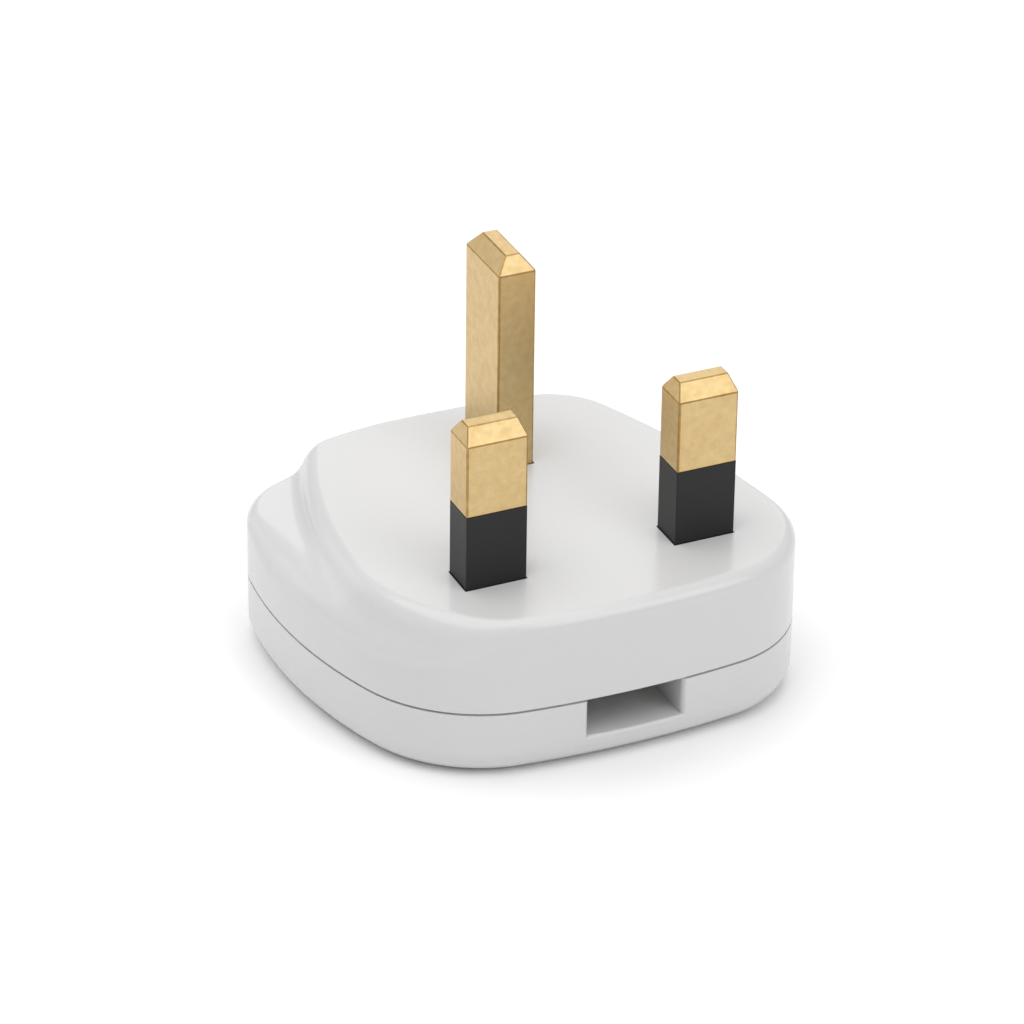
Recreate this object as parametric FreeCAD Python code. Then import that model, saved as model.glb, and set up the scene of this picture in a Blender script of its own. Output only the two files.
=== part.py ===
import FreeCAD, Part
import math
import os

# A three pin mains plug lying on its cover with the pins up
# Millimetres; X runs from live to neutral, Y from the cord end to the earth pin, Z out along the pins
# The origin is on the cover's flat back, below the middle of the live and neutral pins

# Pin set
pin_spacing = 22.2
earth_offset = 22.2
line_pin_width = 6.35
line_pin_depth = 4.0
line_pin_length = 17.2
earth_pin_width = 4.0
earth_pin_depth = 8.0
earth_pin_length = 23.2
tip_height = 1.6
tip_face_inset = 1.25
tip_end_inset = 0.6
sleeve_height = 8.0
sleeve_wall = 0.5

# Moulded body
body_height = 17.0
seam_height = 7.4
face_thickness = 3.0
shelf_roof = 2.4
wall = 2.2
cover_floor = 2.2
edge_radius = 1.2
back_radius = 2.8
shadow_gap = 0.25
shadow_depth = 0.6
lip_wall = 1.0
lip_height = 1.2

# Finger step on the live side
step_drop = 2.6
step_lean_deg = 12.0
step_brow_extra = 0.4
step_foot_radius = 1.3
step_far_reach = 8.0

# Body outline, each side an arc given by its outermost point, the way it faces and its radius
# A reach is the distance beyond the middle of the nearest line pin
front_y = -10.6
front_bow = 95.0
right_reach = 8.2
right_y = 13.4
right_facing_deg = 15.0
right_bow = 90.0
back_x = -6.0
back_bow = 150.0
back_ear_bow = 40.0
ear_reach = 15.9
ear_y = 17.0
ear_bow = 48.7
front_right_corner = 11.5
back_right_corner = 8.5
back_ear_corner = 8.4
front_ear_corner = 15.0

# Left edge of the raised pin face
plateau_reach = 11.8
plateau_y = 6.0
plateau_front_bow = 18.0
plateau_side_bow = 57.4
plateau_back_corner = 6.0
plateau_far_corner = 5.0

# Cord entry and grip
slot_width = 10.0
slot_height = 4.25
slot_edge_radius = 0.8
sill_radius = 0.3
channel_length = 8.0
channel_wall = 1.2
grip_room = 0.4
grip_boss_radius = 2.0
grip_boss_drop = 2.4
grip_bar_width = 3.4
grip_bar_thickness = 1.4
grip_screw_radius = 1.2
grip_head_radius = 1.8
grip_head_height = 1.2
grip_screw_length = 6.0
grip_ridge_height = 0.5
grip_ridge_width = 1.0

# Cover fixing
fixing_y = 8.5
fixing_screw_radius = 1.65
fixing_head_radius = 3.0
fixing_head_height = 2.0
fixing_head_depth = 1.4
fixing_screw_length = 9.0
fixing_head_wall = 1.8
insert_radius = 2.5
insert_length = 5.2
insert_wall = 1.7
insert_recess = 0.4
retainer_radius = 2.8
retainer_thickness = 0.8

# Terminals
head_thickness = 2.4
head_margin = 0.9
terminal_width = 7.0
terminal_depth = 6.4
terminal_bottom = 5.4
earth_terminal_depth = 9.6
terminal_back_room = 2.45
wire_hole_radius = 1.5
wire_hole_z = 8.8
terminal_screw_radius = 1.5
terminal_head_radius = 2.3
terminal_head_height = 1.6
terminal_screw_length = 2.6

# Cartridge fuse and its clips
fuse_length = 25.4
fuse_radius = 3.175
fuse_front_y = -3.6
fuse_cap_length = 5.6
fuse_cap_wall = 0.35
fuse_cap_end = 0.5
fuse_bore_radius = 1.9
fuse_wire_radius = 0.25
clip_thickness = 0.6
clip_length = 5.0
clip_hold_deg = 42.0
stud_radius = 1.2
stud_head_radius = 1.9
stud_head_height = 0.5
fuse_headroom = 0.15

# Slots in the screw heads, ribs and clearances
screw_slot_width = 0.8
screw_slot_depth = 0.7
rib_thickness = 1.2
rib_x = 6.0
rib_front_y = 3.0
rib_back_y = 15.5
rib_drop = 5.0
rib_cover_height = 1.6
pad_width = 0.9
slide_gap = 0.05
pin_gap = 0.1
lip_gap = 0.1
cut_margin = 1.0

# Heights and places that follow
face_z = body_height
seam_z = seam_height
ceiling_z = face_z - face_thickness
sleeve_top_z = face_z + sleeve_height
shelf_z = face_z - step_drop
shelf_ceiling_z = shelf_z - shelf_roof
step_run = step_drop * math.tan(math.radians(step_lean_deg))
live_x = -pin_spacing / 2
neutral_x = pin_spacing / 2
ear_x = live_x - ear_reach
right_x = neutral_x + right_reach
plateau_x = live_x - plateau_reach
head_z = ceiling_z - head_thickness
clip_z = head_z - clip_thickness
fuse_z = clip_z - stud_head_height - fuse_headroom - fuse_radius
slot_z = seam_z - slot_height
grip_boss_z = seam_z - grip_boss_drop
grip_bar_z = grip_boss_z - grip_bar_thickness
channel_end_y = front_y + channel_length
grip_y = channel_end_y + grip_room + grip_bar_width / 2
clip_outer_radius = fuse_radius + slide_gap + clip_thickness
grip_reach = neutral_x - max(line_pin_width / 2 + head_margin, clip_outer_radius) - grip_room
grip_screw_x = grip_reach - grip_boss_radius
fixing_seat_z = fixing_head_depth + fixing_head_height
front_cap_y = fuse_front_y + fuse_cap_length / 2
rear_cap_y = fuse_front_y + fuse_length - fuse_cap_length / 2
live_terminal_y = fuse_front_y + fuse_length + slide_gap + terminal_depth / 2
back_y = live_terminal_y + terminal_depth / 2 + terminal_back_room + wall

pin_sections = [
    (live_x, 0.0, line_pin_width, line_pin_depth),
    (neutral_x, 0.0, line_pin_width, line_pin_depth),
    (0.0, earth_offset, earth_pin_width, earth_pin_depth),
]
terminal_places = [
    (live_x, live_terminal_y, terminal_depth),
    (neutral_x, 0.0, terminal_depth),
    (0.0, earth_offset, earth_terminal_depth),
]


def vec(x, y, z=0.0):
    return FreeCAD.Vector(x, y, z)


def box(x0, x1, y0, y1, z0, z1):
    return Part.makeBox(x1 - x0, y1 - y0, z1 - z0, vec(x0, y0, z0))


def block(x, y, width, depth, z0, z1):
    return box(x - width / 2, x + width / 2, y - depth / 2, y + depth / 2, z0, z1)


def rod(radius, x, y, z0, z1):
    return Part.makeCylinder(radius, z1 - z0, vec(x, y, z0))


def side(apex_x, apex_y, facing_deg, radius):
    turn = math.radians(facing_deg)
    facing = vec(math.cos(turn), math.sin(turn))
    return {"facing": facing, "radius": radius, "centre": vec(apex_x, apex_y) - facing * radius}


def on_circle(centre, radius, towards):
    return centre + (towards - centre).normalize() * radius


def arc(centre, radius, start, end):
    middle = on_circle(centre, radius, (start + end) / 2)
    return Part.Arc(start, middle, end).toShape()


# Centre of the arc that rounds the corner between two neighbouring sides
def corner_centre(a, b, radius):
    reach_a = a["radius"] - radius
    reach_b = b["radius"] - radius
    line = b["centre"] - a["centre"]
    gap = line.Length
    along = (reach_a**2 - reach_b**2 + gap**2) / (2 * gap)
    across = math.sqrt(reach_a**2 - along**2)
    unit = line / gap
    foot = a["centre"] + unit * along
    normal = vec(-unit.y, unit.x) * across
    outward = a["facing"] + b["facing"]
    return max(foot + normal, foot - normal, key=lambda point: point.dot(outward))


# Closed outline of bowed sides with rounded corners; a corner of None joins two sides at a shared apex
def outline(sides, corners, grow, z):
    starts = []
    ends = []
    rounds = []
    for index, corner in enumerate(corners):
        a = sides[index]
        b = sides[(index + 1) % len(sides)]
        if corner is None:
            apex = a["centre"] + a["facing"] * (a["radius"] + grow)
            ends.append(apex)
            starts.append(apex)
            continue
        centre = corner_centre(a, b, corner)
        ends.append(on_circle(a["centre"], a["radius"] + grow, centre))
        starts.append(on_circle(b["centre"], b["radius"] + grow, centre))
        rounds.append(arc(centre, corner + grow, ends[-1], starts[-1]))
    edges = list(rounds)
    for index, one in enumerate(sides):
        edges.append(arc(one["centre"], one["radius"] + grow, starts[index - 1], ends[index]))
    wire = Part.Wire(Part.__sortEdges__(edges))
    wire.translate(vec(0, 0, z))
    return wire


def prism(shape, grow, z0, z1):
    sides, corners = shape
    return Part.Face(outline(sides, corners, grow, z0)).extrude(vec(0, 0, z1 - z0))


def flat_edges(solid, z, inside):
    picked = []
    for edge in solid.Edges:
        bound = edge.BoundBox
        level = abs(bound.ZMin - z) < slide_gap and abs(bound.ZMax - z) < slide_gap
        if level and max(abs(bound.XMin), abs(bound.XMax), abs(bound.YMin), abs(bound.YMax)) < inside:
            picked.append(edge)
    return picked


front = side(0.0, front_y, -90.0, front_bow)
right = side(right_x, right_y, right_facing_deg, right_bow)
back = side(back_x, back_y, 90.0, back_bow)
back_ear = side(back_x, back_y, 90.0, back_ear_bow)
ear = side(ear_x, ear_y, 180.0, ear_bow)
plateau_side = side(plateau_x, plateau_y, 180.0, plateau_side_bow)
plateau_front = side(plateau_x, plateau_y, 180.0, plateau_front_bow)

body_shape = (
    [front, right, back, back_ear, ear],
    [front_right_corner, back_right_corner, None, back_ear_corner, front_ear_corner],
)
core_shape = (
    [front, right, back, back_ear, plateau_side, plateau_front],
    [front_right_corner, back_right_corner, None, plateau_back_corner, None, plateau_far_corner],
)


# Part of the leaning step that follows one arc of the raised face's edge
def step_sector(one, x0, x1, y0, y1):
    centre = one["centre"]
    foot_radius = one["radius"] + step_run
    cone = Part.makeCone(foot_radius, one["radius"], step_drop, vec(centre.x, centre.y, shelf_z))
    return cone.common(box(x0, x1, y0, y1, shelf_z, face_z))


# Edges of the land at one level that run along the step
def step_edges(land, z, reach):
    return [edge for edge in flat_edges(land, z, reach) if edge.BoundBox.XMin < right_x]


# Raised pin face and the finger step, as a land wider than the body
def stepped_land():
    reach = body_height * 10
    far_x = right_x + step_far_reach
    turn = plateau_front["centre"]
    raised = step_sector(plateau_side, -reach, far_x, turn.y, reach)
    raised = raised.fuse(step_sector(plateau_front, -reach, turn.x, -reach, turn.y))
    brow_y = turn.y - plateau_front_bow
    corners = [
        vec(turn.x, brow_y - step_run, shelf_z),
        vec(turn.x, brow_y, face_z),
        vec(turn.x, turn.y, face_z),
        vec(turn.x, turn.y, shelf_z),
    ]
    front_run = Part.Face(Part.makePolygon(corners + corners[:1]))
    raised = raised.fuse(front_run.extrude(vec(far_x - turn.x, 0)))
    land = box(-reach, far_x, -reach, reach, 0.0, shelf_z).fuse(raised).removeSplitter()
    land = land.makeFillet(step_foot_radius, step_edges(land, shelf_z, reach / 2))
    return land.makeFillet(edge_radius + step_brow_extra, step_edges(land, face_z, reach / 2))


# Upper rim of the body, where its wall meets the pin face, the step and the shelf
def rim_edges(solid):
    wall_wire = outline(*body_shape, 0.0, 0.0)
    picked = []
    for edge in solid.Edges:
        bound = edge.BoundBox
        upright = max(bound.XLength, bound.YLength) < slide_gap
        middle = edge.valueAt((edge.FirstParameter + edge.LastParameter) / 2)
        foot = Part.Vertex(vec(middle.x, middle.y))
        if not upright and bound.ZMin > seam_z + lip_height and wall_wire.distToShape(foot)[0] < slide_gap:
            picked.append(edge)
    return picked


def base_form():
    form = prism(body_shape, 0.0, seam_z, face_z).common(stepped_land()).removeSplitter()
    return form.makeFillet(edge_radius, rim_edges(form))


# Moulded base: pin face, finger step, hollow, bosses, ribs and pin openings
def make_base():
    base = base_form()
    base = base.cut(prism(body_shape, -wall, seam_z - cut_margin, shelf_ceiling_z))
    base = base.cut(prism(core_shape, -wall, seam_z - cut_margin, ceiling_z))
    rebate = wall - lip_wall - lip_gap
    base = base.cut(prism(body_shape, -rebate, seam_z - cut_margin, seam_z + lip_height + lip_gap))
    root_z = ceiling_z + cut_margin
    base = base.fuse(rod(insert_radius + insert_wall, 0.0, fixing_y, seam_z, root_z))
    for hand in (-1, 1):
        base = base.fuse(rod(grip_boss_radius, hand * grip_screw_x, grip_y, grip_boss_z, root_z))
        rib_y = (rib_front_y + rib_back_y) / 2
        rib_length = rib_back_y - rib_front_y
        base = base.fuse(block(hand * rib_x, rib_y, rib_thickness, rib_length, ceiling_z - rib_drop, root_z))
        nest_x = live_x + hand * (terminal_width + rib_thickness + 2 * slide_gap) / 2
        base = base.fuse(block(nest_x, live_terminal_y, rib_thickness, terminal_depth, head_z, root_z))
    insert_end_z = seam_z + insert_recess + insert_length
    base = base.cut(rod(insert_radius + slide_gap, 0.0, fixing_y, seam_z - cut_margin, insert_end_z))
    for hand in (-1, 1):
        hole_end_z = grip_bar_z + grip_screw_length + slide_gap
        hole_radius = grip_screw_radius + slide_gap
        base = base.cut(rod(hole_radius, hand * grip_screw_x, grip_y, grip_boss_z - cut_margin, hole_end_z))
    for x, y, width, depth in pin_sections:
        wide = width + 2 * pin_gap
        deep = depth + 2 * pin_gap
        base = base.cut(block(x, y, wide, deep, ceiling_z - cut_margin, face_z + cut_margin))
    return base.removeSplitter()


# Cord entry with rolled-out side edges, open at the seam
def cord_entry():
    half = slot_width / 2
    outside_y = front_y - wall
    round_y = front_y + slot_edge_radius
    inside_y = channel_end_y + cut_margin
    spread = half + slot_edge_radius
    near = slot_edge_radius * (1 - math.sqrt(0.5))
    left = Part.Arc(vec(-half, round_y), vec(-half - near, front_y + near), vec(-spread, front_y)).toShape()
    right = Part.Arc(vec(spread, front_y), vec(half + near, front_y + near), vec(half, round_y)).toShape()
    path = [
        Part.makeLine(vec(-half, inside_y), vec(-half, round_y)),
        left,
        Part.makeLine(vec(-spread, front_y), vec(-spread, outside_y)),
        Part.makeLine(vec(-spread, outside_y), vec(spread, outside_y)),
        Part.makeLine(vec(spread, outside_y), vec(spread, front_y)),
        right,
        Part.makeLine(vec(half, round_y), vec(half, inside_y)),
        Part.makeLine(vec(half, inside_y), vec(-half, inside_y)),
    ]
    face = Part.Face(Part.Wire(path))
    face.translate(vec(0, 0, slot_z))
    return face.extrude(vec(0, 0, slot_height + lip_height + cut_margin))


# Outer edge of the cord entry's floor
def sill_edges(cover):
    picked = []
    for edge in flat_edges(cover, slot_z, body_height * 10):
        if edge.BoundBox.YMax < front_y + slot_edge_radius and edge.BoundBox.XLength > slot_width / 2:
            picked.append(edge)
    return picked


# Moulded cover: rounded back, locating lip, shadow line at the seam, cord channel and fixing boss
def make_cover():
    cover = prism(body_shape, 0.0, 0.0, seam_z)
    cover = cover.makeFillet(back_radius, flat_edges(cover, 0.0, body_height * 10))
    lip = prism(body_shape, -(wall - lip_wall), seam_z - cut_margin, seam_z + lip_height)
    cover = cover.fuse(lip)
    cover = cover.cut(prism(body_shape, -wall, cover_floor, seam_z + lip_height + cut_margin))
    gap_band = prism(body_shape, cut_margin, seam_z - shadow_gap, seam_z + cut_margin)
    cover = cover.cut(gap_band.cut(prism(body_shape, -shadow_depth, 0.0, body_height)))
    boss_radius = fixing_head_radius + pin_gap + fixing_head_wall
    cover = cover.fuse(rod(boss_radius, 0.0, fixing_y, cover_floor / 2, seam_z))
    for hand in (-1, 1):
        rib_y = (rib_front_y + rib_back_y) / 2
        rib_length = rib_back_y - rib_front_y
        rib_top_z = cover_floor + rib_cover_height
        cover = cover.fuse(block(hand * rib_x, rib_y, rib_thickness, rib_length, cover_floor / 2, rib_top_z))
        for x, y, depth in terminal_places:
            pad_x = x + hand * (terminal_width - pad_width) / 2
            cover = cover.fuse(block(pad_x, y, pad_width, depth, cover_floor / 2, terminal_bottom))
    cover = cover.cut(rod(fixing_head_radius + pin_gap, 0.0, fixing_y, -cut_margin, fixing_seat_z))
    cover = cover.cut(rod(fixing_screw_radius + pin_gap, 0.0, fixing_y, 0.0, seam_z + cut_margin))
    pocket_z = seam_z - retainer_thickness - slide_gap
    cover = cover.cut(rod(retainer_radius + slide_gap, 0.0, fixing_y, pocket_z, seam_z + cut_margin))
    channel_x = slot_width / 2 + channel_wall
    cover = cover.fuse(box(-channel_x, channel_x, front_y + wall / 2, channel_end_y, cover_floor / 2, seam_z))
    cover = cover.cut(cord_entry()).removeSplitter()
    return cover.makeFillet(sill_radius, sill_edges(cover))


# Slotted screw with its head below and its shank pointing up
def screw(x, y, seat_z, head_radius, head_height, shank_radius, shank_length):
    head = rod(head_radius, x, y, seat_z - head_height, seat_z)
    drive = block(x, y, 2 * head_radius + cut_margin, screw_slot_width, seat_z - head_height - cut_margin,
                  seat_z - head_height + screw_slot_depth)
    return head.cut(drive).fuse(rod(shank_radius, x, y, seat_z, seat_z + shank_length)).removeSplitter()


def make_cover_screw():
    return screw(0.0, fixing_y, fixing_seat_z, fixing_head_radius, fixing_head_height, fixing_screw_radius,
                 fixing_screw_length)


def ring(outer, inner, x, y, z0, z1):
    return rod(outer, x, y, z0, z1).cut(rod(inner, x, y, z0 - cut_margin, z1 + cut_margin))


def make_screw_retainer():
    top_z = seam_z - slide_gap
    inner = fixing_screw_radius + slide_gap
    return ring(retainer_radius, inner, 0.0, fixing_y, top_z - retainer_thickness, top_z)


def make_threaded_insert():
    z0 = seam_z + insert_recess
    return ring(insert_radius, fixing_screw_radius + slide_gap, 0.0, fixing_y, z0, z0 + insert_length)


def rectangle(x, y, width, depth, z):
    x0 = x - width / 2
    x1 = x + width / 2
    y0 = y - depth / 2
    y1 = y + depth / 2
    return Part.makePolygon([vec(x0, y0, z), vec(x1, y0, z), vec(x1, y1, z), vec(x0, y1, z), vec(x0, y0, z)])


# Bare pin from a given height to its four-sided bevelled tip
def blade(x, y, width, depth, z0, end_z):
    tip_z = end_z - tip_height
    shank = block(x, y, width, depth, z0, tip_z)
    foot = rectangle(x, y, width, depth, tip_z)
    inset_x = tip_end_inset if width > depth else tip_face_inset
    inset_y = tip_face_inset if width > depth else tip_end_inset
    flat = rectangle(x, y, width - 2 * inset_x, depth - 2 * inset_y, end_z)
    return shank.fuse(Part.makeLoft([foot, flat], True, True))


# Part of a line pin that its sleeve goes round
def waist(x, z0, z1):
    return block(x, 0.0, line_pin_width - 2 * sleeve_wall, line_pin_depth - 2 * sleeve_wall, z0, z1)


def line_blade(x):
    bare = blade(x, 0.0, line_pin_width, line_pin_depth, sleeve_top_z, face_z + line_pin_length)
    return bare.fuse(waist(x, head_z, sleeve_top_z))


def line_sleeve(x):
    outer = block(x, 0.0, line_pin_width, line_pin_depth, ceiling_z, sleeve_top_z)
    return outer.cut(waist(x, ceiling_z - cut_margin, sleeve_top_z + cut_margin))


# Head that bears on the inside of the pin face
def line_head(x):
    width = line_pin_width + 2 * head_margin
    depth = line_pin_depth + 2 * head_margin
    return block(x, 0.0, width, depth, head_z, ceiling_z)


# Terminal with a wire hole, running along X or Y, and a screw hole that meets it from below
def terminal(x, y, width, depth, top_z, along_x):
    solid = block(x, y, width, depth, terminal_bottom, top_z)
    reach = width + depth
    if along_x:
        wire_hole = Part.makeCylinder(wire_hole_radius, 2 * reach, vec(x - reach, y, wire_hole_z), vec(1, 0))
    else:
        wire_hole = Part.makeCylinder(wire_hole_radius, 2 * reach, vec(x, y - reach, wire_hole_z), vec(0, 1))
    screw_hole = rod(terminal_screw_radius + slide_gap, x, y, terminal_bottom - cut_margin, wire_hole_z)
    return solid.cut(wire_hole).cut(screw_hole)


def terminal_screw(x, y):
    return screw(x, y, terminal_bottom, terminal_head_radius, terminal_head_height, terminal_screw_radius,
                 terminal_screw_length)


# Stud under a head plate, spread over to hold a fuse clip
def clip_stud(y):
    shank = rod(stud_radius, live_x, y, clip_z, head_z)
    return shank.fuse(rod(stud_head_radius, live_x, y, clip_z - stud_head_height, clip_z))


def make_live_pin():
    return line_blade(live_x).fuse(line_head(live_x)).fuse(clip_stud(front_cap_y)).removeSplitter()


def make_neutral_pin():
    foot = terminal(neutral_x, 0.0, terminal_width, terminal_depth, head_z, False)
    return line_blade(neutral_x).fuse(line_head(neutral_x)).fuse(foot).removeSplitter()


def make_earth_pin():
    foot = terminal(0.0, earth_offset, terminal_width, earth_terminal_depth, ceiling_z, False)
    pin = blade(0.0, earth_offset, earth_pin_width, earth_pin_depth, ceiling_z, face_z + earth_pin_length)
    return pin.fuse(foot).removeSplitter()


def make_live_terminal():
    plate_front_y = rear_cap_y - clip_length / 2
    plate_back_y = live_terminal_y + terminal_depth / 2
    half = terminal_width / 2
    plate = box(live_x - half, live_x + half, plate_front_y, plate_back_y, head_z, ceiling_z)
    foot = terminal(live_x, live_terminal_y, terminal_width, terminal_depth, head_z, True)
    return plate.fuse(foot).fuse(clip_stud(rear_cap_y)).removeSplitter()


# Sprung clip: a plate, two arms and hooked ends that carry a fuse cap from below
def fuse_clip(y):
    inner = fuse_radius + slide_gap
    outer = clip_outer_radius
    y0 = y - clip_length / 2
    y1 = y + clip_length / 2
    hold = math.radians(clip_hold_deg)
    hoop = Part.makeCylinder(outer, clip_length, vec(live_x, y0, fuse_z), vec(0, 1))
    hoop = hoop.cut(Part.makeCylinder(inner, clip_length, vec(live_x, y0, fuse_z), vec(0, 1)))
    clip = hoop.common(box(live_x - outer, live_x + outer, y0, y1, fuse_z - outer * math.sin(hold), fuse_z))
    clip = clip.fuse(box(live_x - outer, live_x + outer, y0, y1, clip_z, head_z))
    for hand in (-1, 1):
        arm_x = live_x + hand * (inner + outer) / 2
        clip = clip.fuse(block(arm_x, y, clip_thickness, clip_length, fuse_z, clip_z))
    stud_hole = rod(stud_radius + slide_gap, live_x, y, clip_z - cut_margin, head_z + cut_margin)
    return clip.cut(stud_hole).removeSplitter()


def fuse_rod(radius, y0, y1):
    return Part.makeCylinder(radius, y1 - y0, vec(live_x, y0, fuse_z), vec(0, 1))


fuse_rear_y = fuse_front_y + fuse_length
tube_front_y = fuse_front_y + fuse_cap_end
tube_rear_y = fuse_rear_y - fuse_cap_end
cap_bore_radius = fuse_radius - fuse_cap_wall


def make_fuse_tube():
    tube = fuse_rod(cap_bore_radius - slide_gap, tube_front_y, tube_rear_y)
    return tube.cut(fuse_rod(fuse_bore_radius, tube_front_y, tube_rear_y))


def make_fuse_front_cap():
    cap = fuse_rod(fuse_radius, fuse_front_y, fuse_front_y + fuse_cap_length)
    return cap.cut(fuse_rod(cap_bore_radius, tube_front_y, fuse_front_y + fuse_cap_length + cut_margin))


def make_fuse_rear_cap():
    cap = fuse_rod(fuse_radius, fuse_rear_y - fuse_cap_length, fuse_rear_y)
    return cap.cut(fuse_rod(cap_bore_radius, fuse_rear_y - fuse_cap_length - cut_margin, tube_rear_y))


def make_fuse_wire():
    return fuse_rod(fuse_wire_radius, tube_front_y, tube_rear_y)


# Bar that clamps the cord across the two bosses, with one gripping ridge
def make_cord_grip_bar():
    end = grip_bar_width / 2
    bar = block(0.0, grip_y, 2 * (grip_reach - end), grip_bar_width, grip_bar_z, grip_boss_z)
    for hand in (-1, 1):
        bar = bar.fuse(rod(end, hand * (grip_reach - end), grip_y, grip_bar_z, grip_boss_z))
    ridge_length = 2 * (grip_screw_x - grip_boss_radius) - 2 * pin_gap
    ridge_top_z = grip_boss_z + grip_ridge_height
    bar = bar.fuse(block(0.0, grip_y, ridge_length, grip_ridge_width, grip_bar_z, ridge_top_z))
    for hand in (-1, 1):
        hole = rod(grip_screw_radius + pin_gap, hand * grip_screw_x, grip_y, grip_bar_z - cut_margin,
                   grip_boss_z + cut_margin)
        bar = bar.cut(hole)
    return bar.removeSplitter()


def make_cord_grip_screws():
    screws = []
    for hand in (-1, 1):
        screws.append(screw(hand * grip_screw_x, grip_y, grip_bar_z, grip_head_radius, grip_head_height,
                            grip_screw_radius, grip_screw_length))
    return Part.makeCompound(screws)


nodes = {
    "base": make_base(),
    "cover": make_cover(),
    "cover_screw": make_cover_screw(),
    "screw_retainer": make_screw_retainer(),
    "threaded_insert": make_threaded_insert(),
    "live_pin": make_live_pin(),
    "live_sleeve": line_sleeve(live_x),
    "neutral_pin": make_neutral_pin(),
    "neutral_sleeve": line_sleeve(neutral_x),
    "neutral_terminal_screw": terminal_screw(neutral_x, 0.0),
    "earth_pin": make_earth_pin(),
    "earth_terminal_screw": terminal_screw(0.0, earth_offset),
    "live_terminal": make_live_terminal(),
    "live_terminal_screw": terminal_screw(live_x, live_terminal_y),
    "front_fuse_clip": fuse_clip(front_cap_y),
    "rear_fuse_clip": fuse_clip(rear_cap_y),
    "fuse_tube": make_fuse_tube(),
    "fuse_front_cap": make_fuse_front_cap(),
    "fuse_rear_cap": make_fuse_rear_cap(),
    "fuse_wire": make_fuse_wire(),
    "cord_grip_bar": make_cord_grip_bar(),
    "cord_grip_screws": make_cord_grip_screws(),
}
os.makedirs("parts", exist_ok=True)
for name, shape in nodes.items():
    shape.exportStep("parts/" + name + ".step")
    print(name, len(shape.Solids), shape.isValid(), round(shape.Volume, 1))
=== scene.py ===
import math

import bmesh
import bpy
from mathutils import Matrix, Vector
from mathutils.geometry import convex_hull_2d


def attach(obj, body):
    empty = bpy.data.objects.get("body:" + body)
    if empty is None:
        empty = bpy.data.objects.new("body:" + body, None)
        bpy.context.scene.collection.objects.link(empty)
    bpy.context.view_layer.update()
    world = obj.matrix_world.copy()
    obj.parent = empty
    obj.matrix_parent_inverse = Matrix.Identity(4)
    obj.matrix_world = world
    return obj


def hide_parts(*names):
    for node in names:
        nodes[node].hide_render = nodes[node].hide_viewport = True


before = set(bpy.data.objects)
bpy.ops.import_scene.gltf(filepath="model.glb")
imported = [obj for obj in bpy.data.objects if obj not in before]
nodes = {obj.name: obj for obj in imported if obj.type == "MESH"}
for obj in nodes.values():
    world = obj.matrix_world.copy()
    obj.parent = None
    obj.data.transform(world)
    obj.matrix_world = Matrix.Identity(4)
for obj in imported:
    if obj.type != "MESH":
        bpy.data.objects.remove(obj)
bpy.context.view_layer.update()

mm = 0.001  # the frame is in metres, the sizes below in millimetres
mixFactor, mixFirst, mixSecond, mixResult = 0, 6, 7, 2  # a Mix node's sockets when it mixes colours
scene = bpy.context.scene
print("frame loaded:", len(nodes), "nodes")


def srgb(hexText):
    # sRGB hex to the linear colour that shaders use
    parts = [int(hexText[i:i + 2], 16) / 255 for i in (1, 3, 5)]
    linear = [c / 12.92 if c <= 0.04045 else ((c + 0.055) / 1.055) ** 2.4 for c in parts]
    return (*linear, 1.0)


def perMm(size):
    # noise scale for features of that size in millimetres
    return 1.0 / (size * mm)


def addNode(tree, kind, settings=None, links=None):
    # one node with its settings and links; a socket is named or numbered
    node = tree.nodes.new(kind)
    for key, value in (settings or {}).items():
        if isinstance(key, int) or key in node.inputs:
            node.inputs[key].default_value = value
        else:
            setattr(node, key, value)
    for key, source in (links or {}).items():
        tree.links.new(source, node.inputs[key])
    return node


def startMaterial(name, shader):
    # a material with its shader's constants set on the sockets themselves
    material = bpy.data.materials.new(name)
    material.use_nodes = True
    tree = material.node_tree
    tree.nodes.clear()
    bsdf = addNode(tree, "ShaderNodeBsdfPrincipled", shader)
    addNode(tree, "ShaderNodeOutputMaterial", links={"Surface": bsdf.outputs[0]})
    place = addNode(tree, "ShaderNodeTexCoord").outputs["Object"]
    return material, tree, bsdf, place


# White thermoset, compression moulded in a polished tool: an even white body with a trace of filler
# in it, drawn coarser than it is so that it shows, under a gloss that mirrors the pins softly
thermosetLook = {"light": "#D4D4D4", "dark": "#D1D1D1", "speckMm": 0.35, "rough": 0.20}


def makeThermoset():
    look = thermosetLook
    material, tree, bsdf, place = startMaterial("white_thermoset_moulded",
                                                {"IOR": 1.54, "Roughness": look["rough"]})
    speck = addNode(tree, "ShaderNodeTexNoise", {"Scale": perMm(look["speckMm"]), "Detail": 2.0},
                    {"Vector": place})
    tone = addNode(tree, "ShaderNodeMix",
                   {"data_type": "RGBA", mixFirst: srgb(look["dark"]), mixSecond: srgb(look["light"])},
                   {mixFactor: speck.outputs["Fac"]})
    tree.links.new(tone.outputs[mixResult], bsdf.inputs["Base Color"])
    return material


# Drawn brass strip, cut, coined and tumbled: a pale satin metal with thin mottled patches of oxide and
# drawing lines along the pin, which are drawn coarser than they are so that they show
brassLook = {"bright": "#D8BE8C", "dull": "#CFB27E", "patchMm": 0.8, "patchSpread": (0.32, 0.66),
             "lineMm": 0.16, "lineStretch": 0.06, "lineDepthMm": 0.001, "roughLow": 0.39, "roughHigh": 0.43}
# the same brass, darker along its rounded edges: painted shade, standing in for the dark reflections that the
# small edge rounds pick up
brassEdgeShadeLook = {**brassLook, "bright": "#B8965E", "dull": "#A5834F"}


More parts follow.
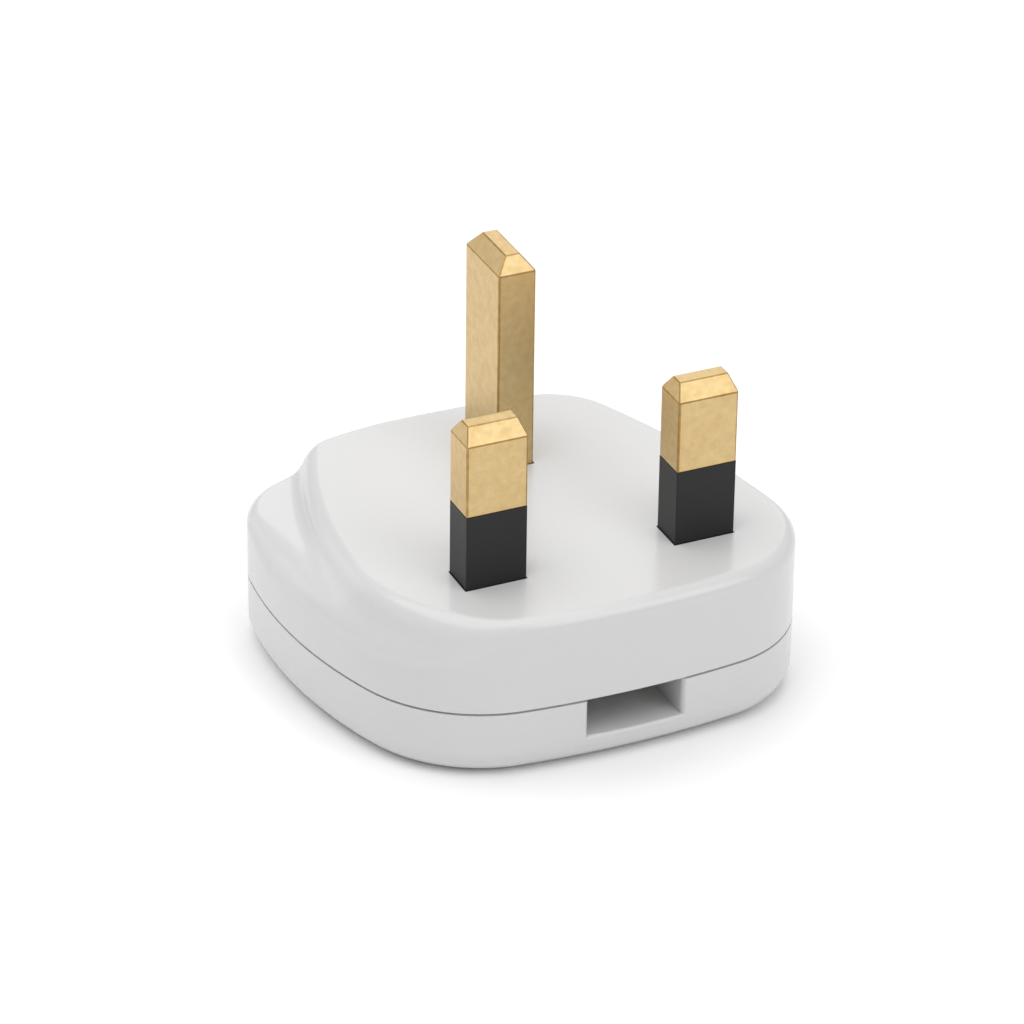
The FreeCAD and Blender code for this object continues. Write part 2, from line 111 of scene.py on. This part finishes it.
def makeBrass(name, look):
    material, tree, bsdf, place = startMaterial(name, {"Metallic": 1.0})
    patch = addNode(tree, "ShaderNodeTexNoise",
                    {"Scale": perMm(look["patchMm"]), "Detail": 4.0, "Roughness": 0.6}, {"Vector": place})
    least, most = look["patchSpread"]
    spread = addNode(tree, "ShaderNodeMapRange", {"From Min": least, "From Max": most},
                     {"Value": patch.outputs["Fac"]})
    tone = addNode(tree, "ShaderNodeMix",
                   {"data_type": "RGBA", mixFirst: srgb(look["dull"]), mixSecond: srgb(look["bright"])},
                   {mixFactor: spread.outputs[0]})
    tree.links.new(tone.outputs[mixResult], bsdf.inputs["Base Color"])
    rough = addNode(tree, "ShaderNodeMapRange", {"To Min": look["roughHigh"], "To Max": look["roughLow"]},
                    {"Value": spread.outputs[0]})
    tree.links.new(rough.outputs[0], bsdf.inputs["Roughness"])
    along = addNode(tree, "ShaderNodeMapping", {"Scale": (1.0, 1.0, look["lineStretch"])}, {"Vector": place})
    lines = addNode(tree, "ShaderNodeTexNoise", {"Scale": perMm(look["lineMm"]), "Detail": 2.0},
                    {"Vector": along.outputs[0]})
    bump = addNode(tree, "ShaderNodeBump", {"Strength": 0.5, "Distance": look["lineDepthMm"] * mm},
                   {"Height": lines.outputs["Fac"]})
    tree.links.new(bump.outputs["Normal"], bsdf.inputs["Normal"])
    return material


# Black nylon, overmoulded in a finely sparked tool: near black, with a grey sheen at a low angle
nylonLook = {"light": "#1B1B1C", "dark": "#161617", "speckMm": 0.3, "speckDepthMm": 0.0012, "rough": 0.42,
             "shine": 0.32}


def makeBlackNylon():
    look = nylonLook
    material, tree, bsdf, place = startMaterial(
        "black_nylon_overmoulded",
        {"IOR": 1.53, "Roughness": look["rough"], "Specular IOR Level": look["shine"]})
    speck = addNode(tree, "ShaderNodeTexNoise", {"Scale": perMm(look["speckMm"]), "Detail": 3.0},
                    {"Vector": place})
    tone = addNode(tree, "ShaderNodeMix",
                   {"data_type": "RGBA", mixFirst: srgb(look["dark"]), mixSecond: srgb(look["light"])},
                   {mixFactor: speck.outputs["Fac"]})
    tree.links.new(tone.outputs[mixResult], bsdf.inputs["Base Color"])
    bump = addNode(tree, "ShaderNodeBump", {"Strength": 0.4, "Distance": look["speckDepthMm"] * mm},
                   {"Height": speck.outputs["Fac"]})
    tree.links.new(bump.outputs["Normal"], bsdf.inputs["Normal"])
    return material


# Finishes of the inner pieces, each a clouded tone with a fine grain: plated metals bright, bronze strip warm,
# ceramic chalky and unfilled nylon waxy
innerLooks = {
    "zinc_plated_steel": {"light": "#C9CACA", "dark": "#A9ABAC", "metal": 1.0, "rough": 0.32, "grainMm": 0.5},
    "nickel_plated_drawn": {"light": "#D8D3C8", "dark": "#BDB7AB", "metal": 1.0, "rough": 0.20, "grainMm": 0.8},
    "phosphor_bronze_strip": {"light": "#C99A66", "dark": "#A97A48", "metal": 1.0, "rough": 0.34, "grainMm": 0.6},
    "unglazed_ceramic": {"light": "#EDE8DE", "dark": "#DDD6C8", "metal": 0.0, "rough": 0.70, "grainMm": 0.3},
    "natural_nylon_moulded": {"light": "#DAD6CA", "dark": "#C8C3B4", "metal": 0.0, "rough": 0.45, "grainMm": 0.7},
    "tinned_wire_drawn": {"light": "#D0D0CE", "dark": "#ABABA8", "metal": 1.0, "rough": 0.28, "grainMm": 0.2},
}
innerGrainDepthMm = 0.002


def makeInner(name):
    look = innerLooks[name]
    material, tree, bsdf, place = startMaterial(name, {"Metallic": look["metal"], "Roughness": look["rough"]})
    grain = addNode(tree, "ShaderNodeTexNoise", {"Scale": perMm(look["grainMm"]), "Detail": 3.0},
                    {"Vector": place})
    tone = addNode(tree, "ShaderNodeMix",
                   {"data_type": "RGBA", mixFirst: srgb(look["dark"]), mixSecond: srgb(look["light"])},
                   {mixFactor: grain.outputs["Fac"]})
    tree.links.new(tone.outputs[mixResult], bsdf.inputs["Base Color"])
    bump = addNode(tree, "ShaderNodeBump", {"Strength": 0.3, "Distance": innerGrainDepthMm * mm},
                   {"Height": grain.outputs["Fac"]})
    tree.links.new(bump.outputs["Normal"], bsdf.inputs["Normal"])
    return material


thermoset = makeThermoset()
pinBrass = makeBrass("brass_strip_tumbled", brassLook)
# the darker edge brass is painted shade for the dark reflections in the pins' edge rounds
edgeShadeBrass = makeBrass("brass_edge_painted_shade", brassEdgeShadeLook)
blackNylon = makeBlackNylon()
inner = {name: makeInner(name) for name in innerLooks}
print("materials made:", len(bpy.data.materials))

# How a copy of a solid is finished; edges that aren't upright get a smaller round
copySettings = {"mergeMm": 0.0005, "flatDeg": 0.05, "uprightShare": 0.9, "slantedRound": 0.5, "roundSteps": 3,
                "normalWeight": 50}


def dressedCopy(nodeName, pieceName, materials, roundMm, sharpDeg, aboveMm, reshape=None):
    # the solid's own shape with merged points, smooth sides and small rounds on its outer edges;
    # the last material is on the rounds
    mesh = nodes[nodeName].data.copy()
    mesh.name = pieceName
    mesh.materials.clear()
    for material in materials:
        mesh.materials.append(material)
    shape = bmesh.new()
    shape.from_mesh(mesh)
    bmesh.ops.remove_doubles(shape, verts=shape.verts, dist=copySettings["mergeMm"] * mm)
    if roundMm:
        bmesh.ops.dissolve_limit(shape, angle_limit=math.radians(copySettings["flatDeg"]), verts=shape.verts,
                                 edges=shape.edges)
        weights = shape.edges.layers.float.new("bevel_weight_edge")
    if reshape:
        reshape(shape)
    for edge in shape.edges:
        edge.smooth = len(edge.link_faces) == 2 and edge.calc_face_angle(0.0) < math.radians(sharpDeg)
        low, high = sorted(vert.co.z for vert in edge.verts)
        if roundMm and not edge.smooth and low > aboveMm * mm:
            upright = high - low > copySettings["uprightShare"] * edge.calc_length()
            edge[weights] = 1.0 if upright else copySettings["slantedRound"]
    for face in shape.faces:
        face.smooth = True
        face.material_index = 0
    shape.to_mesh(mesh)
    shape.free()
    piece = bpy.data.objects.new(pieceName, mesh)
    scene.collection.objects.link(piece)
    if roundMm:
        bevel = piece.modifiers.new("edgeRound", "BEVEL")
        bevel.limit_method = "WEIGHT"
        bevel.width = roundMm * mm
        bevel.segments = copySettings["roundSteps"]
        # the rounds get the last material; on the pins that is the darker edge brass, a painted shade
        bevel.material = len(materials) - 1
        bevel.use_clamp_overlap = False
        bevel.harden_normals = True
    else:
        level = piece.modifiers.new("evenNormals", "WEIGHTED_NORMAL")
        level.keep_sharp = True
        level.mode = "FACE_AREA_WITH_ANGLE"
        level.weight = copySettings["normalWeight"]
    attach(piece, "root")
    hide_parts(nodeName)
    return piece


# Body: both mouldings. The base gets an even skin in place of its facets, a little softer than the solid at
# the rim and the step. Where the finger shelf is wide, its outer rim rolls over more and fades into the wall
bodySharpDeg = 32.0
baseSettings = {
    "seamMm": 7.4, "shelfMm": 14.4, "faceMm": 17.0, "levelMm": 0.01,  # heights, and how closely they are met
    "middleMm": 6.0, "sideCentreMm": 34.5, "sideRadiusMm": 57.1,  # the raised face's edge along the shelf
    "frontCentreMm": -4.9, "frontRadiusMm": 17.7,  # and round the front
    "leanDeg": 24.0, "browMm": 2.4, "footMm": 1.9, "rimMm": 1.5,  # the step and the rounds
    "rollMm": 3.4, "rollPerWidth": 0.9, "rollFadeMm": (6.0, 24.0),  # the shelf's outer rim
    "reachMm": 3.0, "reachPerWidth": 1.6, "reachMarginMm": 2.8, "reachMaxMm": 7.2,  # how far in the rows go
    "columnMm": 0.35, "rimRows": 16, "stepRows": 10, "rowMm": 0.02,  # the skin's columns and rows
    "skinTurnDeg": 60.0, "halvings": 24,  # the edge that ends the old skin, and the search for a row's place
}


def browGap(x, y):
    # how far a point lies outside the edge of the raised face
    base = baseSettings
    side = "side" if y > base["middleMm"] else "front"
    if side == "front" and x > base["frontCentreMm"]:
        return base["middleMm"] - base["frontRadiusMm"] - y
    return math.hypot(x - base[side + "CentreMm"], y - base["middleMm"]) - base[side + "RadiusMm"]


def stepSlope():
    # the step's lean, how far it runs out on its way down, and how far a round of radius 1 reaches along it
    lean = math.radians(baseSettings["leanDeg"])
    run = (baseSettings["faceMm"] - baseSettings["shelfMm"]) * math.tan(lean)
    return lean, run, math.tan((math.pi / 2 - lean) / 2)


def landHeight(gap):
    # raised face, rounded brow, leaning step, rounded foot and shelf
    face, shelf, brow, foot = (baseSettings[k] for k in ("faceMm", "shelfMm", "browMm", "footMm"))
    lean, run, tangent = stepSlope()
    if gap <= -brow * tangent:
        return face
    if gap <= brow * (math.cos(lean) - tangent):
        return face - brow + math.sqrt(brow ** 2 - (gap + brow * tangent) ** 2)
    if gap <= run - foot * tangent * math.sin(lean):
        return face - gap / math.tan(lean)
    if gap <= run + foot * tangent:
        return shelf + foot - math.sqrt(foot ** 2 - (gap - run - foot * tangent) ** 2)
    return shelf


def stepLines():
    # distances from the raised face's edge at which the foot and the brow turn by equal angles
    base = baseSettings
    lean, run, tangent = stepSlope()
    turns = [(math.pi / 2 - lean) * k / base["stepRows"] for k in range(base["stepRows"] + 1)]
    foot = [run + base["footMm"] * (tangent - math.sin(turn)) for turn in turns]
    brow = [base["browMm"] * (math.sin(turn) - tangent) for turn in reversed(turns)]
    return foot + brow


def reachLine(start, inward, near, far, line):
    # how far in from the wall a column meets that distance from the raised face's edge
    for _ in range(baseSettings["halvings"]):
        middle = (near + far) / 2
        if browGap(*(start + inward * middle)) > line:
            near = middle
        else:
            far = middle
    return near


def takeOuterSkin(shape):
    # everything that runs on smoothly from the raised face goes; the seam's edge and the pin openings stay
    limit = math.radians(baseSettings["skinTurnDeg"])
    first = max(shape.faces, key=lambda face: face.calc_center_median().z + face.normal.z)
    skin, queue = {first}, [first]
    while queue:
        for edge in queue.pop().edges:
            for other in edge.link_faces:
                if other not in skin and edge.calc_face_angle(math.pi) < limit:
                    skin.add(other)
                    queue.append(other)
    bmesh.ops.delete(shape, geom=list(skin), context="FACES")


def seamColumns(shape):
    # points along the seam's outer edge, close together, with the way in from the wall
    base = baseSettings
    seam = [v for v in shape.verts if v.is_boundary and abs(v.co.z / mm - base["seamMm"]) < base["levelMm"]]
    ring = [seam[i] for i in convex_hull_2d([v.co.xy for v in seam])]
    sides = [(b.co.xy - a.co.xy).orthogonal().normalized() for a, b in zip(ring, ring[1:] + ring[:1])]
    inward = [(sides[i - 1] + sides[i]).normalized() for i in range(len(ring))]
    columns = []
    for i, vert in enumerate(ring):
        end = (i + 1) % len(ring)
        edge = shape.edges.get((vert, ring[end]))
        pieces = math.ceil(edge.calc_length() / (base["columnMm"] * mm))
        columns.append((vert, inward[i]))
        for k in range(1, pieces):
            _, vert = bmesh.utils.edge_split(edge, vert, 1.0 / (pieces - k + 1))
            columns.append((vert, inward[i].lerp(inward[end], k / pieces).normalized()))
    return columns


def columnSpots(foot, inward, lines):
    # how far in from the wall, and how far below the land, each row of a column lies: round the rim,
    # along the step's lines and onto the raised face
    base = baseSettings
    width = max(0.0, browGap(*foot))
    fadeStart, fadeEnd = base["rollFadeMm"]
    fade = min(1.0, max(0.0, (fadeEnd - foot.y) / (fadeEnd - fadeStart)))
    roll = min(base["rollMm"], base["rimMm"] + base["rollPerWidth"] * width * fade)
    wanted = max(base["reachMm"], base["reachPerWidth"] * width + base["reachMarginMm"])
    reach = min(base["reachMaxMm"], wanted)
    turns = [math.pi / 2 * k / base["rimRows"] for k in range(base["rimRows"])]
    spots = [(roll * (1 - math.cos(turn)), roll * (1 - math.sin(turn))) for turn in turns]
    depths = [roll]
    for line in lines:
        depths.append(max(depths[-1] + base["rowMm"], reachLine(foot, inward, roll, reach, line)))
    depths.append(reach + 2 * base["rowMm"] * len(lines))
    return spots + [(depth, 0.0) for depth in depths]


def newSkin(shape):
    # columns of faces from the seam's edge up and in, and a flat fill between them and the pin openings
    takeOuterSkin(shape)
    shelf = baseSettings["shelfMm"] * mm
    openings = [e for e in shape.edges if e.is_boundary and min(v.co.z for v in e.verts) > shelf]
    lines = stepLines()
    columns = []
    for vert, inward in seamColumns(shape):
        foot = vert.co.xy / mm
        column = [vert]
        for gap, sunk in columnSpots(foot, inward, lines):
            x, y = foot + inward * gap
            height = landHeight(browGap(x, y)) - sunk
            column.append(shape.verts.new((x * mm, y * mm, height * mm)))
        columns.append(column)
    pairs = list(zip(columns, columns[1:] + columns[:1]))
    for here, there in pairs:
        for k in range(len(here) - 1):
            shape.faces.new((here[k], there[k], there[k + 1], here[k + 1]))
    innerLoop = [shape.edges.get((here[-1], there[-1])) for here, there in pairs]
    bmesh.ops.triangle_fill(shape, use_beauty=True, edges=innerLoop + openings)
    bmesh.ops.triangulate(shape, faces=[f for f in shape.faces if len(f.verts) > 4])
    bmesh.ops.recalc_face_normals(shape, faces=shape.faces)
    low = min(column[-1].co.z for column in columns) / mm
    print("skin columns:", len(columns), "open edges:", sum(e.is_boundary for e in shape.edges),
          "inner loop level:", round(low, 4))


for nodeName, pieceName, reshape in (("base", "baseMoulding", newSkin), ("cover", "coverMoulding", None)):
    piece = dressedCopy(nodeName, pieceName, [thermoset], 0.0, bodySharpDeg, 0.0, reshape)
print("body mouldings dressed")

# Pins and their sleeves
pinSettings = {"edgeRoundMm": 0.20, "sleeveRoundMm": 0.10, "sharpDeg": 18.0, "roundAboveMm": 13.9,
               "earthMiddleMm": 22.2, "earthTipMm": 1.6, "earthTipShare": 0.82}


def drawInEarthTip(shape):
    # the earth pin's end bevels lean in as far as its broad ones: the tip is drawn in evenly towards its top
    middle, tip = pinSettings["earthMiddleMm"] * mm, pinSettings["earthTipMm"] * mm
    foot = max(v.co.z for v in shape.verts) - tip
    for vert in shape.verts:
        rise = max(0.0, (vert.co.z - foot) / tip)
        vert.co.y = middle + (vert.co.y - middle) * (1.0 - rise * (1.0 - pinSettings["earthTipShare"]))


for nodeName, pieceName, reshape in (("live_pin", "livePin", None), ("neutral_pin", "neutralPin", None),
                                     ("earth_pin", "earthPin", drawInEarthTip)):
    # the pins' edge rounds carry the darker brass: painted shade for the dark reflections along the edges
    piece = dressedCopy(nodeName, pieceName, [pinBrass, edgeShadeBrass], pinSettings["edgeRoundMm"],
                        pinSettings["sharpDeg"], pinSettings["roundAboveMm"], reshape)
for nodeName, pieceName in (("live_sleeve", "liveSleeve"), ("neutral_sleeve", "neutralSleeve")):
    piece = dressedCopy(nodeName, pieceName, [blackNylon], pinSettings["sleeveRoundMm"], pinSettings["sharpDeg"],
                        pinSettings["roundAboveMm"])
print("pins and sleeves dressed")

# Slotted screws: seats are where the heads end, the shanks point up
screwSizes = ("Head Radius", "Head Height", "Shank Radius", "Shank Length", "Thread Pitch", "Thread Depth",
              "Slot Width", "Slot Depth")  # in the order of the sizes below
terminalScrewMm = (2.3, 1.6, 1.5, 2.6, 0.6, 0.24, 0.8, 0.7)
screwSettings = {
    "cover_screw": {"seatsMm": [(0.0, 8.5, 3.4)], "sizesMm": (3.0, 2.0, 1.65, 9.0, 0.7, 0.28, 0.8, 0.7)},
    "neutral_terminal_screw": {"seatsMm": [(11.1, 0.0, 5.4)], "sizesMm": terminalScrewMm},
    "earth_terminal_screw": {"seatsMm": [(0.0, 22.2, 5.4)], "sizesMm": terminalScrewMm},
    "live_terminal_screw": {"seatsMm": [(-11.1, 25.05, 5.4)], "sizesMm": terminalScrewMm},
    "cord_grip_screws": {"seatsMm": [(-4.625, -0.5, 3.6), (4.625, -0.5, 3.6)],
                         "sizesMm": (1.8, 1.2, 1.2, 6.0, 0.9, 0.25, 0.8, 0.7)},
}
screwBuild = {"threadAround": 32, "threadAlong": 121, "headSides": 64, "biteShare": 0.25, "slotReach": 2.5,
              "mergeMm": 0.001, "sharpDeg": 35.0}


def makeScrewTree(material):
    # a slotted head below its seat and a threaded shank above it, in millimetres, at each point of the mesh
    build = screwBuild
    tree = bpy.data.node_groups.new("slottedScrew", "GeometryNodeTree")
    tree.interface.new_socket("Geometry", in_out="INPUT", socket_type="NodeSocketGeometry")
    for name in screwSizes:
        tree.interface.new_socket(name, in_out="INPUT", socket_type="NodeSocketFloat")
    tree.interface.new_socket("Geometry", in_out="OUTPUT", socket_type="NodeSocketGeometry")
    size = addNode(tree, "NodeGroupInput").outputs
    # shank: a unit grid rolled into a tube, its first and last rows drawn in to the axis as end faces
    row = 1.0 / (build["threadAlong"] - 1)
    grid = addNode(tree, "GeometryNodeMeshGrid",
                   {"Vertices X": build["threadAround"], "Vertices Y": build["threadAlong"]})
    spot = addNode(tree, "ShaderNodeSeparateXYZ",
                   links={0: addNode(tree, "GeometryNodeInputPosition").outputs[0]})
    bite = addNode(tree, "ShaderNodeMath", {"operation": "MULTIPLY", 1: -build["biteShare"]},
                   {0: size["Head Height"]})  # the shank starts inside the head
    height = addNode(tree, "ShaderNodeMapRange", {"From Min": row - 0.5, "From Max": 0.5 - row},
                     {"Value": spot.outputs["Y"], "To Min": bite.outputs[0], "To Max": size["Shank Length"]})
    turns = addNode(tree, "ShaderNodeMath", {"operation": "DIVIDE"},
                    {0: height.outputs[0], 1: size["Thread Pitch"]})
    phase = addNode(tree, "ShaderNodeMath", {"operation": "SUBTRACT"},
                    {0: turns.outputs[0], 1: spot.outputs["X"]})
    twice = addNode(tree, "ShaderNodeMath", {"operation": "MULTIPLY", 1: 2.0}, {0: phase.outputs[0]})
    flank = addNode(tree, "ShaderNodeMath", {"operation": "PINGPONG", 1: 1.0}, {0: twice.outputs[0]})
    groove = addNode(tree, "ShaderNodeMath", {"operation": "MULTIPLY"},
                     {0: flank.outputs[0], 1: size["Thread Depth"]})
    reach = addNode(tree, "ShaderNodeMath", {"operation": "SUBTRACT"},
                    {0: size["Shank Radius"], 1: groove.outputs[0]})
    out = addNode(tree, "ShaderNodeMath", {"operation": "ABSOLUTE"}, {0: spot.outputs["Y"]})
    between = addNode(tree, "ShaderNodeMath", {"operation": "LESS_THAN", 1: 0.5 - row / 2}, {0: out.outputs[0]})
    radius = addNode(tree, "ShaderNodeMath", {"operation": "MULTIPLY"},
                     {0: reach.outputs[0], 1: between.outputs[0]})
    angle = addNode(tree, "ShaderNodeMath", {"operation": "MULTIPLY", 1: 2 * math.pi}, {0: spot.outputs["X"]})
    arm = addNode(tree, "ShaderNodeCombineXYZ", links={"X": radius.outputs[0], "Z": height.outputs[0]})
    rolled = addNode(tree, "ShaderNodeVectorRotate", {"rotation_type": "Z_AXIS"},
                     {"Vector": arm.outputs[0], "Angle": angle.outputs[0]})
    tube = addNode(tree, "GeometryNodeSetPosition",
                   links={"Geometry": grid.outputs["Mesh"], "Position": rolled.outputs[0]})
    shank = addNode(tree, "GeometryNodeMergeByDistance", {"Distance": build["mergeMm"]},
                    {"Geometry": tube.outputs[0]})
    # head: a disc under the seat with the driver's slot cut across it
    disc = addNode(tree, "GeometryNodeMeshCylinder", {"Vertices": build["headSides"]},
                   {"Radius": size["Head Radius"], "Depth": size["Head Height"]})
    middle = addNode(tree, "ShaderNodeMath", {"operation": "MULTIPLY", 1: -0.5}, {0: size["Head Height"]})
    seat = addNode(tree, "ShaderNodeCombineXYZ", links={"Z": middle.outputs[0]})
    head = addNode(tree, "GeometryNodeTransform",
                   links={"Geometry": disc.outputs["Mesh"], "Translation": seat.outputs[0]})
    across = addNode(tree, "ShaderNodeMath", {"operation": "MULTIPLY", 1: build["slotReach"]},
                     {0: size["Head Radius"]})
    deep = addNode(tree, "ShaderNodeMath", {"operation": "MULTIPLY", 1: 2.0}, {0: size["Slot Depth"]})
    block = addNode(tree, "ShaderNodeCombineXYZ",
                    links={"X": across.outputs[0], "Y": size["Slot Width"], "Z": deep.outputs[0]})
    cutter = addNode(tree, "GeometryNodeMeshCube", links={"Size": block.outputs[0]})
    below = addNode(tree, "ShaderNodeMath", {"operation": "MULTIPLY", 1: -1.0}, {0: size["Head Height"]})
    under = addNode(tree, "ShaderNodeCombineXYZ", links={"Z": below.outputs[0]})
    driver = addNode(tree, "GeometryNodeTransform",
                     links={"Geometry": cutter.outputs["Mesh"], "Translation": under.outputs[0]})
    slotted = addNode(tree, "GeometryNodeMeshBoolean", {"operation": "DIFFERENCE"},
                      {"Mesh 1": head.outputs[0], "Mesh 2": driver.outputs[0]})
    whole = addNode(tree, "GeometryNodeMeshBoolean", {"operation": "UNION"}, {"Mesh 2": slotted.outputs["Mesh"]})
    tree.links.new(shank.outputs[0], whole.inputs["Mesh 2"])  # one socket takes both
    copies = addNode(tree, "GeometryNodeInstanceOnPoints", {"Scale": (mm, mm, mm)},
                     {"Points": size["Geometry"], "Instance": whole.outputs["Mesh"]})
    plain = addNode(tree, "GeometryNodeRealizeInstances", links={"Geometry": copies.outputs[0]})
    dressed = addNode(tree, "GeometryNodeSetMaterial", {"Material": material}, {"Geometry": plain.outputs[0]})
    addNode(tree, "NodeGroupOutput", links={"Geometry": dressed.outputs[0]})
    return tree


def makeScrews(nodeName, tree):
    # one plain mesh for all the screws of a node
    settings = screwSettings[nodeName]
    points = bpy.data.meshes.new(nodeName + "Seats")
    points.from_pydata([[v * mm for v in seat] for seat in settings["seatsMm"]], [], [])
    seats = bpy.data.objects.new(nodeName + "Seats", points)
    scene.collection.objects.link(seats)
    grower = seats.modifiers.new("slottedScrew", "NODES")
    grower.node_group = tree
    sockets = {item.name: item.identifier for item in tree.interface.items_tree if item.in_out == "INPUT"}
    for name, value in zip(screwSizes, settings["sizesMm"]):
        grower[sockets[name]] = value
    mesh = bpy.data.meshes.new_from_object(seats.evaluated_get(bpy.context.evaluated_depsgraph_get()))
    bpy.data.objects.remove(seats)
    while mesh.materials[0] is None:
        mesh.materials.pop(index=0)  # an empty slot that comes with several screws
    mesh.shade_smooth()
    mesh.set_sharp_from_angle(angle=math.radians(screwBuild["sharpDeg"]))
    words = nodeName.split("_")
    piece = bpy.data.objects.new(words[0] + "".join(word.capitalize() for word in words[1:]), mesh)
    scene.collection.objects.link(piece)
    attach(piece, "root")
    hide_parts(nodeName)


screwTree = makeScrewTree(inner["zinc_plated_steel"])
for nodeName in screwSettings:
    makeScrews(nodeName, screwTree)
print("screws made:", len(screwSettings))

# Inner pieces that keep their solids
innerFinish = {
    "screw_retainer": inner["natural_nylon_moulded"], "cord_grip_bar": inner["natural_nylon_moulded"],
    "front_fuse_clip": inner["phosphor_bronze_strip"], "rear_fuse_clip": inner["phosphor_bronze_strip"],
    "fuse_front_cap": inner["nickel_plated_drawn"], "fuse_rear_cap": inner["nickel_plated_drawn"],
    "fuse_tube": inner["unglazed_ceramic"], "fuse_wire": inner["tinned_wire_drawn"],
    "threaded_insert": pinBrass, "live_terminal": pinBrass,
}
for nodeName, material in innerFinish.items():
    nodes[nodeName].data.materials.clear()
    nodes[nodeName].data.materials.append(material)
print("inner pieces finished")

# Floor, light and camera: matt white paper under large soft boxes
floorLook = {"light": "#FBFBFB", "dark": "#F9F9F9", "cloudMm": 60.0, "sizeM": 6.0, "rough": 0.9}


def makeFloor():
    look = floorLook
    material, tree, bsdf, place = startMaterial("studio_sweep_paper",
                                                {"Roughness": look["rough"], "Specular IOR Level": 0.0})
    cloud = addNode(tree, "ShaderNodeTexNoise", {"Scale": perMm(look["cloudMm"])}, {"Vector": place})
    tone = addNode(tree, "ShaderNodeMix",
                   {"data_type": "RGBA", mixFirst: srgb(look["dark"]), mixSecond: srgb(look["light"])},
                   {mixFactor: cloud.outputs["Fac"]})
    tree.links.new(tone.outputs[mixResult], bsdf.inputs["Base Color"])
    half = look["sizeM"] / 2
    mesh = bpy.data.meshes.new("studioFloor")
    mesh.from_pydata([(-half, -half, 0), (half, -half, 0), (half, half, 0), (-half, half, 0)], [], [(0, 1, 2, 3)])
    mesh.materials.append(material)
    floor = bpy.data.objects.new("studioFloor", mesh)
    scene.collection.objects.link(floor)


lightSettings = {
    "sky": "#FFFFFF",
    "skyStrength": 0.46,
    "boxes": {  # the last three are where a face of the plug mirrors them to the camera
        "overheadBox": {"watts": 8.6, "sizeM": 1.3, "at": (-0.18, 0.0, 1.0)},
        "frontBox": {"watts": 1.4, "sizeM": 0.5, "at": (0.33, -0.62, 0.59)},  # the tips' front bevels
        "backBox": {"watts": 2.3, "sizeM": 0.9, "at": (0.43, 0.94, 0.60)},  # the pin face
        "lowBox": {"watts": 0.52, "sizeM": 0.5, "at": (-0.60, 0.82, 0.26)},  # the earth tip's left bevel
    },
}


def makeLights():
    world = bpy.data.worlds.new("studioSky")
    world.use_nodes = True
    background = world.node_tree.nodes["Background"]
    background.inputs["Color"].default_value = srgb(lightSettings["sky"])
    background.inputs["Strength"].default_value = lightSettings["skyStrength"]
    scene.world = world
    for name, box in lightSettings["boxes"].items():
        lamp = bpy.data.lights.new(name, "AREA")
        lamp.energy = box["watts"]
        lamp.size = box["sizeM"]
        softbox = bpy.data.objects.new(name, lamp)
        softbox.location = box["at"]
        softbox.rotation_euler = Vector(box["at"]).to_track_quat("Z", "Y").to_euler()  # faces the object
        scene.collection.objects.link(softbox)


cameraSettings = {"azimuthDeg": -24.66, "elevationDeg": 30.0, "rollDeg": -0.75, "aimMm": (-6.35, 4.98, 20.25),
                  "distanceMm": 484.6, "lensMm": 175.78, "sensorMm": 36.0, "clipM": (0.01, 20.0)}


def makeCamera():
    look = cameraSettings
    turn, lift, roll = (math.radians(look[k]) for k in ("azimuthDeg", "elevationDeg", "rollDeg"))
    back = Vector((math.sin(turn) * math.cos(lift), -math.cos(turn) * math.cos(lift), math.sin(lift)))
    right = Vector((0, 0, 1)).cross(back).normalized()
    up = back.cross(right)
    tilted = right * math.cos(roll) - up * math.sin(roll)
    axes = Matrix((tilted, back.cross(tilted), back)).transposed()
    data = bpy.data.cameras.new("photoCamera")
    data.sensor_width = look["sensorMm"]
    data.lens = look["lensMm"]
    data.clip_start, data.clip_end = look["clipM"]
    camera = bpy.data.objects.new("photoCamera", data)
    place = Vector(look["aimMm"]) * mm + back * look["distanceMm"] * mm
    camera.matrix_world = Matrix.Translation(place) @ axes.to_4x4()
    scene.collection.objects.link(camera)
    scene.camera = camera


makeFloor()
makeLights()
makeCamera()
scene.view_settings.view_transform = "Standard"
print("floor, light and camera set")
